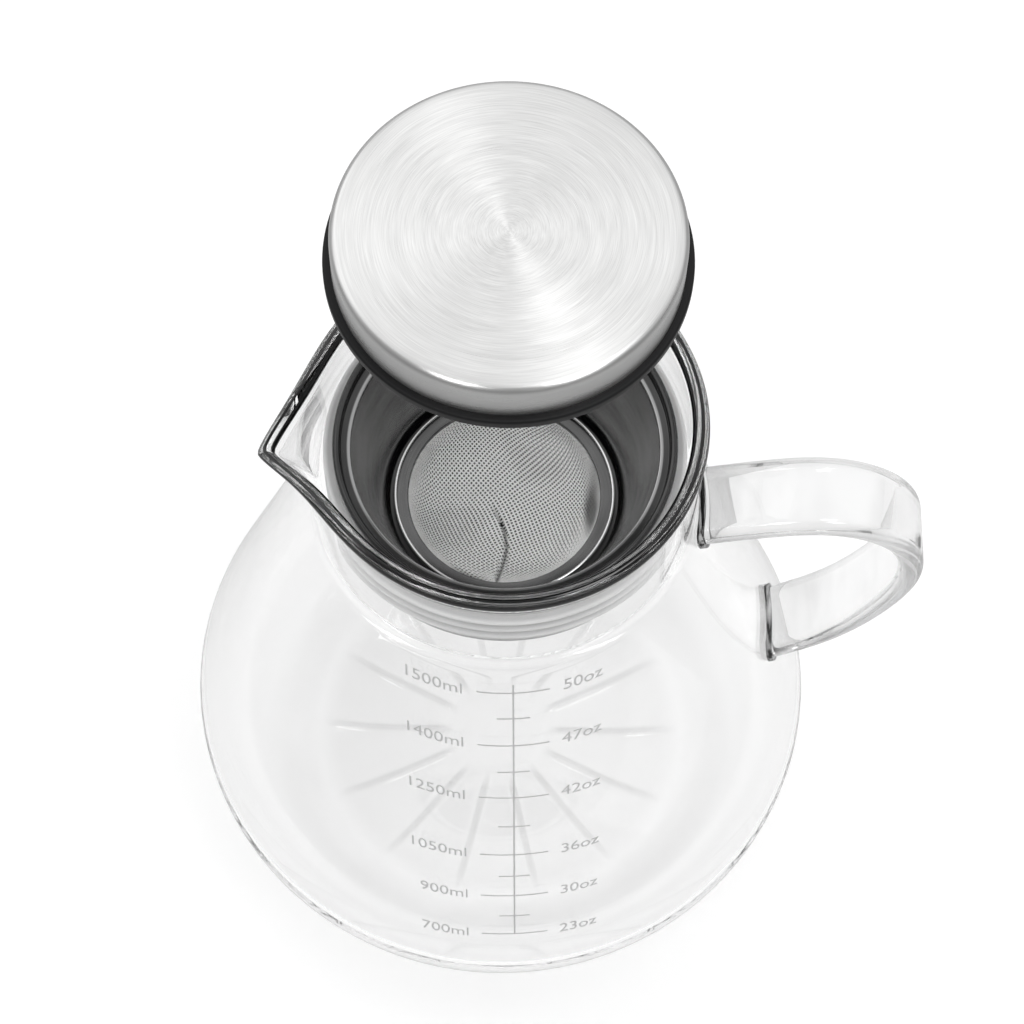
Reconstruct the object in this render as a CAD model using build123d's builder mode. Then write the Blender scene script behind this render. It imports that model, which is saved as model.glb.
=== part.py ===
from build123d import *

import os
from math import cos, exp, radians, sin, tan

# A glass cold brew carafe: a blown jug with a fused strap handle, a steel strainer held in its
# neck by a finned silicone sleeve, and a steel lid with a silicone gasket that plugs the strainer.
#
# Millimetres, +Z up.  The origin is the centre of the face that the jug stands on.  The handle
# points to +X and the pouring lip to -X.  The strainer stands in the neck, and the lid is lifted
# straight up out of it.

os.makedirs("parts", exist_ok=True)

# ---------------------------------------------------------------- the jug
wall = 2.4                  # blown glass of the body
neck_wall = 2.8             # the glass is a little thicker round the neck
belly_radius = 74.5         # outside, at its widest
belly_height = 38.4         # where the belly is widest
belly_underside = 26.0      # radius of the turn below the widest place
belly_shoulder = 12.0       # radius of the turn above it
heel_slope = 30.0           # degrees below level where the underside turn becomes the heel
cone_slope = 17.5           # degrees between the shoulder cone and the upright
neck_radius = 40.3          # outside
neck_blend = 20.0           # radius between the cone and the neck
rim_height = 181.2          # centre of the rolled rim
rim_bead = 1.75             # radius of the rolled rim
rim_radius = 39.1           # centre of the rolled rim

lip_start = 152.0           # height where the pouring lip begins to leave the neck
lip_reach = 9.2             # how far its tip stands out of the neck
lip_width = 12.5            # degrees from the tip at which about a third of the reach is left
lip_sharpness = 1.25
lip_drop = 6.0              # how far its tip lies below the rest of the rim
lip_turn = 6.0              # degrees that it stands off the line of the handle
lip_angles = (0, 4, 8, 13, 19, 27, 38, 55, 75, 100, 125, 150)
lip_levels = (152, 158, 164, 170, 176)
lip_root = 2.0              # the lip's glass starts this far down inside the neck's,
lip_step = 0.06             # and is this much finer

rib_count = 14
rib_width = 1.5
rib_depth = 0.5
boss_radius = 12.0          # plain centre of the base
rib_end = 46.0
rib_tool_height = 8.0

# ---------------------------------------------------------------- the handle
strap_width = 17.4
strap_thickness = 5.6
strap_edge = 2.6            # rounding of the strap's long edges
strap_route = (
    (38, 140.8),
    (54, 146.2),
    (70, 148.2),
    (82.5, 141.5),
    (88.6, 126),
    (84.8, 107),
    (74, 87.5),
    (58, 73),
)
pad_margin = 0.8            # the fused pads stand this much proud of the strap
pad_thickness = 1.4

# ---------------------------------------------------------------- the strainer
sheet = 0.8                 # steel sheet
flange_top = 172.8          # top of the collar's rolled edge
flange_bead = 0.8           # radius of the rolled edge
collar_radius = 34.3        # outside
collar_bottom = 153.9
shelf_depth = 2.2           # from the rolled edge down to the shelf that carries the lid
mouth_radius = 31.4         # inner edge of the shelf
throat_radius = 24.5        # inside of the funnel at its foot
throat_height = 147.6
funnel_lip = 1.9            # width of the funnel's top edge, under the shelf
foot_top = 145.6            # turned-in foot that carries the mesh
foot_opening = 20.7
mesh_radius = 20.3
mesh_depth = 15.0
cloth = 0.4                 # thickness of the wire cloth
ring_radius = 23.4
ring_sheet = 0.9
ring_lip = 1.9              # height of the ring's rolled edge
sleeve_bottom = 157.0
sleeve_top = 171.0
sleeve_thickness = 0.9
fin_radius = 37.1
fin_heights = (162.6, 166.0, 169.4)
fin_thickness = 0.8

# ---------------------------------------------------------------- the lid
lid_lift = 74.9             # how far the lid is lifted above its seat
cap_radius = 31.5
cap_height = 8.6
cap_shoulder = 1.6
cap_sheet = 0.8
gasket_radius = 33.0
gasket_thickness = 2.4
gasket_bore = 28.5
skirt_radius = 30.9         # the skirt plugs the strainer's mouth
skirt_foot_radius = 30.1
skirt_depth = 3.6
core_clearance = 0.1        # round the core, inside the cap
base_radius = 29.6
base_sheet = 0.8

# ---------------------------------------------------------------- worked out from these
cone_angle = radians(cone_slope)
heel_angle = radians(heel_slope)
underside_centre = belly_radius - belly_underside
heel_radius = (belly_height - belly_underside * sin(heel_angle)) / (1 - sin(heel_angle))
foot_radius = underside_centre - (heel_radius - belly_underside) * cos(heel_angle)
shoulder_centre = belly_radius - belly_shoulder
shelf_top = flange_top - shelf_depth
gasket_bottom = shelf_top + lid_lift
cap_bottom = gasket_bottom + gasket_thickness
cap_top = cap_bottom + cap_height
skirt_bottom = gasket_bottom - skirt_depth


# ---------------------------------------------------------------- shapes that more pieces use
def jug_section(inset, neck_inset):
    """Half section of the jug up to the start of its lip, moved inwards, and filled."""
    turn_radius = belly_shoulder - inset
    cone_foot = (
        shoulder_centre + turn_radius * cos(cone_angle),
        belly_height + turn_radius * sin(cone_angle),
    )
    neck = neck_radius - neck_inset
    blend_radius = neck_blend + inset
    cone_top_radius = neck + blend_radius * (1 - cos(cone_angle))
    cone_top_height = cone_foot[1] + (cone_foot[0] - cone_top_radius) / tan(cone_angle)
    blend_height = cone_top_height + blend_radius * sin(cone_angle)
    with BuildSketch(Plane.XZ) as section:
        with BuildLine():
            floor = Line((0, inset), (foot_radius, inset))
            CenterArc((foot_radius, heel_radius), heel_radius - inset, -90, 90 - heel_slope)
            underside = (underside_centre, belly_height)
            CenterArc(underside, belly_underside - inset, -heel_slope, heel_slope)
            turn = CenterArc((shoulder_centre, belly_height), turn_radius, 0, cone_slope)
            blend = CenterArc((neck + blend_radius, blend_height), blend_radius, 180, cone_slope)
            Line(turn @ 1, blend @ 1)
            Polyline(blend @ 0, (neck, lip_start), (0, lip_start), floor @ 0)
        make_face()
    return section.sketch


def jug_solid(inset, neck_inset):
    """The jug up to the start of its lip, moved inwards, and filled."""
    with BuildPart() as solid:
        add(jug_section(inset, neck_inset))
        revolve(axis=Axis.Z)
    return solid.part


def bulge(angle):
    """Share of the lip's reach at this many degrees from its tip."""
    return exp(-((abs(angle) / lip_width) ** lip_sharpness))


def rim_level(angle):
    """Height of the rim's centre at this many degrees from the tip of the lip."""
    return rim_height - lip_drop * bulge(angle)


def wall_point(angle, radius, height):
    """Place in plan of the wall, which stands out at the lip by more the higher it is."""
    climb = max(height - lip_start, 0) / (rim_height - lip_start)
    r = radius + lip_reach * bulge(angle) * climb**2
    return (-r * cos(radians(angle)), r * sin(radians(angle)))


def neck_outline(radius, height):
    """Points round the neck, counted from the handle's side."""
    far_side = [wall_point(a, radius, height) for a in reversed(lip_angles)]
    near_side = [(x, -y) for x, y in reversed(far_side[:-1])]
    return [(radius, 0)] + far_side + near_side


def lip_solid(inset):
    """The upper neck with its lip, moved inwards by inset, and filled."""
    with BuildPart() as solid:
        for height in (lip_start - lip_root,) + lip_levels + (rim_height,):
            with BuildSketch(Plane.XY.offset(height)):
                with BuildLine():
                    Spline(*neck_outline(neck_radius - inset - lip_step, height), periodic=True)
                make_face()
        loft()
    return solid.part


def strap_solid(margin):
    """The handle's strap along its whole route, thicker all round by margin."""
    with BuildPart() as solid:
        with BuildLine(Plane.XZ) as route:
            Spline(*strap_route)
        start = Plane(route.line @ 0, x_dir=(0, 1, 0), z_dir=route.line % 0)
        with BuildSketch(start):
            RectangleRounded(
                strap_width + 2 * margin, strap_thickness + 2 * margin, strap_edge + margin
            )
        sweep(path=route.line)
    return solid.part


# ---------------------------------------------------------------- carafe_body
with BuildPart() as jug_inside:
    add(jug_solid(wall, neck_wall))
    add(lip_solid(neck_wall))

with BuildPart() as jug_shell:
    add(jug_solid(0, 0))
    add(lip_solid(0))
    add(jug_inside.part, mode=Mode.SUBTRACT)
    # the wall is cut back where the rim dips to the tip of the lip
    with BuildSketch(Plane.XZ):
        with BuildLine():
            dip = [
                (wall_point(a, rim_radius, rim_height)[0], rim_level(a))
                for a in lip_angles[:8]
            ]
            edge = Spline(*dip)
            clear_height = rim_height + lip_drop
            clear_radius = neck_radius + 2 * lip_reach
            Polyline(
                edge @ 1,
                (dip[-1][0], clear_height),
                (-clear_radius, clear_height),
                (-clear_radius, dip[0][1]),
                edge @ 0,
            )
        make_face()
    extrude(amount=clear_radius, both=True, mode=Mode.SUBTRACT)

with BuildPart() as rim:
    with BuildLine() as rim_line:
        half_rim = [(rim_radius, 0, rim_height)]
        for a in reversed(lip_angles):
            half_rim.append((*wall_point(a, rim_radius, rim_height), rim_level(a)))
        Spline(*half_rim, tangents=[(0, 1, 0), (0, -1, 0)])
    with BuildSketch(Plane((rim_radius, 0, rim_height), x_dir=(1, 0, 0), z_dir=(0, 1, 0))):
        Circle(rim_bead)
    sweep(path=rim_line.line)
    mirror(about=Plane.XZ)

with BuildPart() as rib_grooves:
    with PolarLocations(boss_radius, rib_count):
        Box(
            rib_end - boss_radius,
            rib_width,
            rib_tool_height,
            align=(Align.MIN, Align.CENTER, Align.CENTER),
        )
    with BuildSketch():
        Circle(boss_radius + rib_width)
        Circle(boss_radius, mode=Mode.SUBTRACT)
    extrude(amount=rib_depth)
    add(jug_solid(rib_depth, rib_depth), mode=Mode.SUBTRACT)

with BuildPart() as carafe_body:
    add(jug_shell.part, rotation=(0, 0, lip_turn))
    add(rim.part, rotation=(0, 0, lip_turn))
    add(rib_grooves.part, mode=Mode.SUBTRACT)

# ---------------------------------------------------------------- handle and its fused pads
with BuildPart() as handle:
    add(strap_solid(0))
    add(jug_solid(-pad_thickness, -pad_thickness), mode=Mode.SUBTRACT)

with BuildPart() as pads:
    add(strap_solid(pad_margin))
    add(jug_solid(0, 0), mode=Mode.SUBTRACT)
    add(jug_solid(-pad_thickness, -pad_thickness), mode=Mode.INTERSECT)

with BuildPart() as upper_handle_pad:
    add(pads.part.solids().sort_by(Axis.Z)[-1])

with BuildPart() as lower_handle_pad:
    add(pads.part.solids().sort_by(Axis.Z)[0])

# ---------------------------------------------------------------- strainer_collar
with BuildPart() as strainer_collar:
    with BuildSketch(Plane.XZ):
        bead_centre = flange_top - flange_bead
        with Locations((collar_radius, collar_bottom)):
            Rectangle(sheet, bead_centre - collar_bottom, align=(Align.MAX, Align.MIN))
        with Locations((collar_radius, bead_centre)):
            Circle(flange_bead)
        with Locations((mouth_radius + sheet / 2, shelf_top)):
            Rectangle(
                collar_radius - mouth_radius - sheet, sheet, align=(Align.MIN, Align.MAX)
            )
        with Locations((mouth_radius + sheet / 2, shelf_top - sheet / 2)):
            Circle(sheet / 2)
    revolve(axis=Axis.Z)

# ---------------------------------------------------------------- strainer_funnel
with BuildPart() as strainer_funnel:
    with BuildSketch(Plane.XZ):
        funnel_top = shelf_top - sheet
        with BuildLine():
            Polyline(
                (mouth_radius, funnel_top),
                (mouth_radius + funnel_lip, funnel_top),
                (mouth_radius + funnel_lip, funnel_top - sheet),
                (mouth_radius + sheet, funnel_top - sheet),
                (throat_radius + sheet, throat_height),
                (throat_radius + sheet, foot_top - sheet),
                (foot_opening, foot_top - sheet),
                (foot_opening, foot_top),
                (throat_radius, foot_top),
                (throat_radius, throat_height),
                close=True,
            )
        make_face()
    revolve(axis=Axis.Z)
    fillet(strainer_funnel.edges().group_by(Axis.Z)[0].sort_by(SortBy.LENGTH)[-1], sheet)

# ---------------------------------------------------------------- strainer_seal
with BuildPart() as strainer_seal:
    with BuildSketch(Plane.XZ):
        with Locations((collar_radius, sleeve_bottom)):
            Rectangle(
                sleeve_thickness, sleeve_top - sleeve_bottom, align=(Align.MIN, Align.MIN)
            )
        fin_reach = fin_radius - fin_thickness / 2 - collar_radius
        for height in fin_heights:
            with Locations((collar_radius, height)):
                Rectangle(fin_reach, fin_thickness, align=(Align.MIN, Align.CENTER))
            with Locations((collar_radius + fin_reach, height)):
                Circle(fin_thickness / 2)
    revolve(axis=Axis.Z)

# ---------------------------------------------------------------- mesh_cup
with BuildPart() as mesh_cup:
    with BuildSketch(Plane.XZ):
        with BuildLine():
            outer = EllipticalCenterArc((0, foot_top), mesh_radius, mesh_depth, -90, arc_size=90)
            inner = EllipticalCenterArc(
                (0, foot_top + cloth), mesh_radius - cloth, mesh_depth, -90, arc_size=90
            )
            Polyline(
                outer @ 1,
                (ring_radius, foot_top),
                (ring_radius, foot_top + cloth),
                inner @ 1,
            )
            Line(outer @ 0, inner @ 0)
        make_face()
    revolve(axis=Axis.Z)

# ---------------------------------------------------------------- mesh_ring
with BuildPart() as mesh_ring:
    with BuildSketch(Plane.XZ):
        ring_bottom = foot_top + cloth
        with Locations((mesh_radius, ring_bottom)):
            Rectangle(ring_radius - mesh_radius, ring_sheet, align=(Align.MIN, Align.MIN))
        with Locations((ring_radius, ring_bottom)):
            Rectangle(sheet, ring_lip - sheet / 2, align=(Align.MAX, Align.MIN))
        with Locations((ring_radius - sheet / 2, ring_bottom + ring_lip - sheet / 2)):
            Circle(sheet / 2)
    revolve(axis=Axis.Z)

# ---------------------------------------------------------------- lid_cap
with BuildPart() as lid_cap:
    with BuildSketch(Plane.XZ):
        with BuildLine():
            crown = cap_radius - cap_shoulder
            outer_turn = CenterArc((crown, cap_top - cap_shoulder), cap_shoulder, 0, 90)
            inner_turn = CenterArc(
                (crown, cap_top - cap_shoulder), cap_shoulder - cap_sheet, 0, 90
            )
            Polyline(
                outer_turn @ 0,
                (cap_radius, cap_bottom),
                (cap_radius - cap_sheet, cap_bottom),
                inner_turn @ 0,
            )
            Polyline(outer_turn @ 1, (0, cap_top), (0, cap_top - cap_sheet), inner_turn @ 1)
        make_face()
    revolve(axis=Axis.Z)

# ---------------------------------------------------------------- lid_core
with BuildPart() as lid_core:
    with BuildSketch(Plane.XZ):
        core_radius = cap_radius - cap_sheet - core_clearance
        core_height = cap_height - cap_sheet
        with Locations((0, cap_bottom)):
            Rectangle(core_radius, core_height, align=(Align.MIN, Align.MIN))
        with Locations((0, skirt_bottom)):
            Rectangle(gasket_bore, cap_bottom - skirt_bottom, align=(Align.MIN, Align.MIN))
    revolve(axis=Axis.Z)
    chamfer(lid_core.edges().group_by(Axis.Z)[-1], cap_shoulder - cap_sheet)

# ---------------------------------------------------------------- lid_gasket
with BuildPart() as lid_gasket:
    with BuildSketch(Plane.XZ):
        with BuildLine():
            Polyline(
                (gasket_bore, cap_bottom),
                (gasket_radius, cap_bottom),
                (gasket_radius, gasket_bottom),
                (skirt_radius, gasket_bottom),
                (skirt_foot_radius, skirt_bottom),
                (gasket_bore, skirt_bottom),
                close=True,
            )
        make_face()
    revolve(axis=Axis.Z)
    rims = lid_gasket.edges().filter_by(GeomType.CIRCLE).sort_by(SortBy.RADIUS)
    fillet(rims[-2:], gasket_thickness / 4)

# ---------------------------------------------------------------- lid_base
with BuildPart() as lid_base:
    with BuildSketch(Plane.XY.offset(skirt_bottom - base_sheet)):
        Circle(base_radius)
    extrude(amount=base_sheet)
    fillet(lid_base.edges().group_by(Axis.Z)[0], base_sheet / 2)

# ---------------------------------------------------------------- written out
pieces = {
    "carafe_body": carafe_body,
    "handle": handle,
    "upper_handle_pad": upper_handle_pad,
    "lower_handle_pad": lower_handle_pad,
    "strainer_collar": strainer_collar,
    "strainer_funnel": strainer_funnel,
    "strainer_seal": strainer_seal,
    "mesh_cup": mesh_cup,
    "mesh_ring": mesh_ring,
    "lid_cap": lid_cap,
    "lid_core": lid_core,
    "lid_gasket": lid_gasket,
    "lid_base": lid_base,
}
for name, piece in pieces.items():
    piece.part.label = name
    export_step(piece.part, f"parts/{name}.step")
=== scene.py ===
"""The looks of a glass cold brew carafe with a steel strainer and a steel lid, built on its CAD frame.

Laid out as an add-on: one operator makes each piece or group of like pieces, and main() runs them all.
Lengths are in metres and angles in degrees.  The jug stands on z = 0 with its axis on the Z axis,
its handle points to +X and its pouring lip to -X.
"""

from math import atan2, ceil, cos, degrees, exp, hypot, pi, radians, sin, sqrt, tan

import bmesh
import bpy
import numpy as np
from mathutils import Matrix, Vector


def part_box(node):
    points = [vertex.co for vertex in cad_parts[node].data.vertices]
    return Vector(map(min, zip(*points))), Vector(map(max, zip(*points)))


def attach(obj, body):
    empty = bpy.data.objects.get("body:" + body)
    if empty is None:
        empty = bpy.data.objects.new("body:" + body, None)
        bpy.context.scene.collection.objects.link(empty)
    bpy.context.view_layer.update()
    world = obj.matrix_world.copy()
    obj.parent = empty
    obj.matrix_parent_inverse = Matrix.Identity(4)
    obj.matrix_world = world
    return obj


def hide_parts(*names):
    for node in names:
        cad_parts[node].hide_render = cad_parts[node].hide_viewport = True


bl_info = {
    "name": "Cold Brew Carafe",
    "version": (1, 0, 0),
    "blender": (4, 5, 0),
    "location": "View3D > Sidebar > Carafe",
    "description": "Builds the looks of a glass cold brew carafe on its CAD frame",
    "category": "Object",
}

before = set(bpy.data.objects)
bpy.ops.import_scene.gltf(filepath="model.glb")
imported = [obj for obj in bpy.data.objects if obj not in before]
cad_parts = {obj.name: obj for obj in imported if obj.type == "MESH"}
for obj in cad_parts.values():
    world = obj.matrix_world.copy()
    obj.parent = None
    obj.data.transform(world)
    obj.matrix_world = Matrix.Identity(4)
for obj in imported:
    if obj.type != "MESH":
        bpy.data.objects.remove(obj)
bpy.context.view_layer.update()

MM = 0.001
tiny = 1e-7                 # lengths under this count as none

# ---------------------------------------------------------------- the jug, as its maker draws it
wall = 2.4 * MM
neck_wall = 2.8 * MM
belly_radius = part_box("carafe_body")[1].y
belly_height = 38.4 * MM
belly_underside = 26.0 * MM
belly_shoulder = 12.0 * MM
heel_slope = 30.0
cone_slope = 17.5
neck_radius = 40.3 * MM
neck_blend = 20.0 * MM
rim_height = 181.2 * MM
rim_bead = 1.75 * MM
rim_radius = 39.1 * MM
lip_start = 152.0 * MM
lip_tip = 186.0             # azimuth of the pouring lip
boss_radius = 12.0 * MM
rib_end = 46.0 * MM
rib_count = 14
rib_half_width = 0.9 * MM
jug_steps = 336             # a whole number of steps between ribs

cone_angle = radians(cone_slope)
heel_angle = radians(heel_slope)
underside_centre = belly_radius - belly_underside
heel_radius = (belly_height - belly_underside * sin(heel_angle)) / (1 - sin(heel_angle))
foot_radius = underside_centre - (heel_radius - belly_underside) * cos(heel_angle)
shoulder_centre = belly_radius - belly_shoulder

# how the rim's glass is marked for its painted shade: dark lines painted along its roll
rim_foot = 3.0 * MM         # the mark starts this far below the bead's middle
rim_fade = 2.5 * MM         # and reaches its full strength over this height
roll_start = -30.0          # angle on the bead's outside from which its roll is counted
roll_span = 240.0           # degrees from there, over the top, to the end of the roll inside
roll_lines = ((0.19, 0.09), (0.46, 0.06), (0.74, 0.12))     # middle and half width of each dark line

# ---------------------------------------------------------------- the handle
strap_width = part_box("handle")[1].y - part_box("handle")[0].y
strap_thickness = 5.6 * MM
strap_edge = 2.6 * MM
strap_steps = 96
strap_route = [
    Vector((x * MM, 0, z * MM))
    for x, z in (
        (38, 140.8), (54, 146.2), (70, 148.2), (82.5, 141.5), (88.6, 126), (84.8, 107), (74, 87.5), (58, 73),
    )
]
pad_margin = 0.8 * MM
pad_thickness = 1.4 * MM
weld_gap = 0.04 * MM        # air left between touching faces, which shows where two pieces meet
cutter_span = (50 * MM, 160 * MM)       # heights between which the jug's shape trims the strap

# ---------------------------------------------------------------- the strainer
sheet = 0.8 * MM
bend = 0.3 * MM             # inside radius of a sharp bend
cup_sheet = 0.4 * MM        # thickness of the sheet that stands for the cloth in the CAD
collar_bead = 0.8 * MM
collar_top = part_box("strainer_collar")[1].z
collar_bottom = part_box("strainer_collar")[0].z
collar_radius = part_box("strainer_collar")[1].x - collar_bead
mouth_radius = 31.4 * MM
shelf_depth = 2.2 * MM
shelf_top = collar_top - shelf_depth
funnel_lip = 1.9 * MM
throat_radius = 24.5 * MM
throat_height = 147.6 * MM
foot_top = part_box("mesh_cup")[1].z - cup_sheet
foot_bend = 0.5 * MM
foot_opening = 20.7 * MM
ring_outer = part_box("mesh_ring")[1].x
ring_inner = 20.3 * MM
ring_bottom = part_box("mesh_ring")[0].z
ring_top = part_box("mesh_ring")[1].z
ring_sheet = 0.9 * MM
sleeve_thickness = 0.9 * MM
sleeve_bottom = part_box("strainer_seal")[0].z
sleeve_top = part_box("strainer_seal")[1].z
fin_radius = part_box("strainer_seal")[1].x
fin_heights = (162.6 * MM, 166.0 * MM, 169.4 * MM)
fin_thickness = 0.8 * MM
spun_steps = 160            # steps round the axis of a spun piece

# ---------------------------------------------------------------- the mesh bag
bag_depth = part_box("mesh_cup")[1].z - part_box("mesh_cup")[0].z
pressed_depth = bag_depth - 1.0 * MM    # of its smooth form, which leaves room for its creases
cloth_level = (foot_top + ring_bottom) / 2
cloth_overlap = 0.6 * MM    # the cloth runs on under the ring by this much
filter_gap = 2.2            # wire radii between the coarse cloth's middle and the fine one
filter_thickness = 0.05 * MM
filter_steps = 120
crease_route = (
    (-15.6, -1.22), (-13.5, -0.82), (-9.6, 0.20), (-5.6, 0.79), (-1.4, 0.07), (0.5, -0.61), (2.1, -1.72),
    (5.3, -2.60),
)                           # y and x, in millimetres, from the front of the bag to its middle

# ---------------------------------------------------------------- the lid
cap_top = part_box("lid_cap")[1].z
cap_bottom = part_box("lid_cap")[0].z
cap_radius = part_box("lid_cap")[1].x
cap_shoulder = 1.6 * MM
cap_steps = 192
gasket_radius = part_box("lid_gasket")[1].x
gasket_thickness = 2.4 * MM
gasket_bottom = cap_bottom - gasket_thickness
gasket_bore = 28.5 * MM
gasket_edge = 0.6 * MM
skirt_radius = 30.9 * MM
skirt_foot_radius = 30.1 * MM
skirt_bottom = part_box("lid_gasket")[0].z
base_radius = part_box("lid_base")[1].x
base_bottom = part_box("lid_base")[0].z

# ---------------------------------------------------------------- the printed volume scale
scale_azimuth = -86.5
mark_heights = (141.0 * MM, 123.7 * MM, 105.7 * MM, 85.0 * MM, 69.4 * MM, 54.3 * MM)
between_heights = (132.7 * MM, 114.7 * MM, 95.4 * MM, 76.9 * MM, 61.5 * MM)
millilitres = (1500, 1400, 1250, 1050, 900, 700)
ounces = (50, 47, 42, 36, 30, 23)
long_mark = 15.3 * MM
short_mark = 7.0 * MM
mark_width = 0.38 * MM
stem_top = 143.6 * MM
label_gap = 10.4 * MM       # from the stem to the near end of a label

# ---------------------------------------------------------------- the light and the camera
floor_size = 8.0
floor_drop = 0.1 * MM       # the floor lies this far under the jug
floor_glow = 0.46           # its own light, seen straight, in metal and through glass
glow_shares = {"Camera": 1.0, "Glossy": 0.2, "Transmission": 0.78}
floor_end = 0.7             # and beyond this radius it turns into the white round it
lamps = (                   # name, place, width and watts
    ("overhead", (0.36, -0.05, 1.45), 0.36, 2.2),
    ("front left", (-0.40, -0.62, 1.45), 0.34, 3.0),
    ("front right", (0.56, -0.58, 1.45), 0.36, 3.2),
    ("back left", (-0.80, 0.55, 1.2), 1.1, 1.8),
)
lamp_target = Vector((0, 0, 0.15))
camera_place = Vector((0, -234.12 * MM, 658.23 * MM))
camera_down = 65.796
camera_turn = 0.421
camera_roll = 1.442
camera_lens = 93.55         # millimetres, on a 36 mm sensor


# ================================================================ settings that a user would change
class CarafeSizes(bpy.types.PropertyGroup):
    """Sizes of the details that the CAD frame leaves open."""

    lip_reach: bpy.props.FloatProperty(
        name="Lip reach", description="How far the pouring lip stands out", default=9.2 * MM, unit="LENGTH"
    )
    lip_width: bpy.props.FloatProperty(
        name="Lip width", description="Degrees from its tip where a third of its reach is left", default=12.5
    )
    lip_drop: bpy.props.FloatProperty(
        name="Lip drop", description="How far the tip lies below the rim", default=6.0 * MM, unit="LENGTH"
    )
    rib_depth: bpy.props.FloatProperty(
        name="Rib depth", description="Depth of the grooves in the base", default=0.5 * MM, unit="LENGTH"
    )
    wire_pitch: bpy.props.FloatProperty(
        name="Wire pitch", description="From one wire to the next", default=0.76 * MM, unit="LENGTH"
    )
    wire_radius: bpy.props.FloatProperty(
        name="Wire radius", description="Radius of the cloth's wires", default=0.188 * MM, unit="LENGTH"
    )
    weave_turn: bpy.props.FloatProperty(
        name="Weave turn", description="Degrees between the wires and the handle", default=38.0
    )
    print_height: bpy.props.FloatProperty(
        name="Print height", description="How far the print stands out", default=0.06 * MM, unit="LENGTH"
    )
    label_size: bpy.props.FloatProperty(
        name="Label size", description="Height of the scale's lettering", default=4.6 * MM, unit="LENGTH"
    )


class CarafeColours(bpy.types.PropertyGroup):
    """Colours of the finishes."""

    steel: bpy.props.FloatVectorProperty(
        name="Steel", description="Brushed steel", size=3, subtype="COLOR", default=(0.83, 0.83, 0.825)
    )
    # the strainer's steel, much darker than the steel: painted shade for the strainer down in the jug
    strainer_steel_in_shade: bpy.props.FloatVectorProperty(
        name="Inner steel", description="Strainer steel", size=3, subtype="COLOR", default=(0.22, 0.22, 0.22)
    )
    gasket: bpy.props.FloatVectorProperty(
        name="Gasket", description="Black silicone", size=3, subtype="COLOR", default=(0.006, 0.006, 0.0065)
    )
    seal: bpy.props.FloatVectorProperty(
        name="Seal", description="Grey silicone", size=3, subtype="COLOR", default=(0.95, 0.95, 0.95)
    )
    core: bpy.props.FloatVectorProperty(
        name="Core", description="Plastic plug", size=3, subtype="COLOR", default=(0.05, 0.05, 0.05)
    )
    enamel: bpy.props.FloatVectorProperty(
        name="Enamel", description="Printed scale", size=3, subtype="COLOR", default=(0.72, 0.72, 0.72)
    )


# ================================================================ outlines and meshes
def held(value):
    """The number held between 0 and 1."""
    return min(max(value, 0), 1)


def hump(away, half):
    """1 where away is 0, and smoothly less on both sides, with about a third left at half."""
    return exp(-((away / half) ** 2))


def spread(start, end, steps):
    """Numbers from start to end, both included."""
    return [start + (end - start) * i / steps for i in range(steps + 1)]


def arc(centre, radius, start, end, steps):
    """Points on an arc between two angles."""
    return [
        (centre[0] + radius * cos(radians(a)), centre[1] + radius * sin(radians(a)))
        for a in spread(start, end, steps)
    ]


def line(start, end, steps):
    """Points on a straight run."""
    return [
        (start[0] + (end[0] - start[0]) * t, start[1] + (end[1] - start[1]) * t)
        for t in spread(0, 1, steps)
    ]


def joined(*runs):
    """One outline from runs of points, without the points that two runs share."""
    outline = []
    for run in runs:
        for point in run:
            if not outline or hypot(point[0] - outline[-1][0], point[1] - outline[-1][1]) > tiny:
                outline.append(point)
    return outline


def pick(*pieces):
    """Leaves only these pieces selected, in object mode, and the first of them active."""
    if bpy.context.mode != "OBJECT":
        bpy.ops.object.mode_set(mode="OBJECT")
    bpy.ops.object.select_all(action="DESELECT")
    for piece in pieces:
        piece.select_set(True)
    if pieces:
        bpy.context.view_layer.objects.active = pieces[0]


def begin(name, point):
    """Starts a piece as one vertex at point, and leaves it in edit mode."""
    pick()
    bpy.ops.mesh.primitive_plane_add(size=MM)
    piece = bpy.context.object
    piece.name = name
    bpy.ops.object.mode_set(mode="EDIT")
    bpy.ops.mesh.merge(type="CENTER")
    bpy.ops.transform.translate(value=point)
    return piece


def extrude(step):
    """Extrudes what is selected by a step."""
    bpy.ops.mesh.extrude_region_move(TRANSFORM_OT_translate={"value": step})


def turned(name, outline, steps, closed=True):
    """Draws an outline point by point and spins it round the Z axis."""
    piece = begin(name, (outline[0][0], 0, outline[0][1]))
    on_axis = outline[0][0] < tiny and outline[-1][0] < tiny
    path = outline + ([] if on_axis or not closed else [outline[0]])
    for here, there in zip(path, path[1:]):
        extrude((there[0] - here[0], 0, there[1] - here[1]))
    bpy.ops.mesh.select_all(action="SELECT")
    bpy.ops.mesh.spin(steps=steps, angle=2 * pi, center=(0, 0, 0), axis=(0, 0, 1))
    clean(piece)
    return piece


def clean(piece):
    """Merges doubled vertices, points the faces outwards and returns to object mode."""
    bpy.context.view_layer.objects.active = piece
    if bpy.context.mode != "EDIT_MESH":
        bpy.ops.object.mode_set(mode="EDIT")
    bpy.ops.mesh.select_all(action="SELECT")
    bpy.ops.mesh.remove_doubles(threshold=10 * tiny)
    bpy.ops.mesh.normals_make_consistent(inside=False)
    bpy.ops.object.mode_set(mode="OBJECT")


def placed(piece):
    """Leaves the object at the origin, unturned and unscaled, with its place in its mesh."""
    pick(piece)
    bpy.ops.object.transform_apply(location=True, rotation=True, scale=True)


def finished(piece, body, material, nodes=(), *, angle):
    """Gives the piece its shading, its finish and its body, and hides the CAD nodes that it stands for."""
    placed(piece)
    bpy.ops.object.shade_smooth_by_angle(angle=radians(angle))
    piece.data.materials.clear()
    piece.data.materials.append(material)
    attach(piece, body)
    if nodes:
        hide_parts(*nodes)


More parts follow.
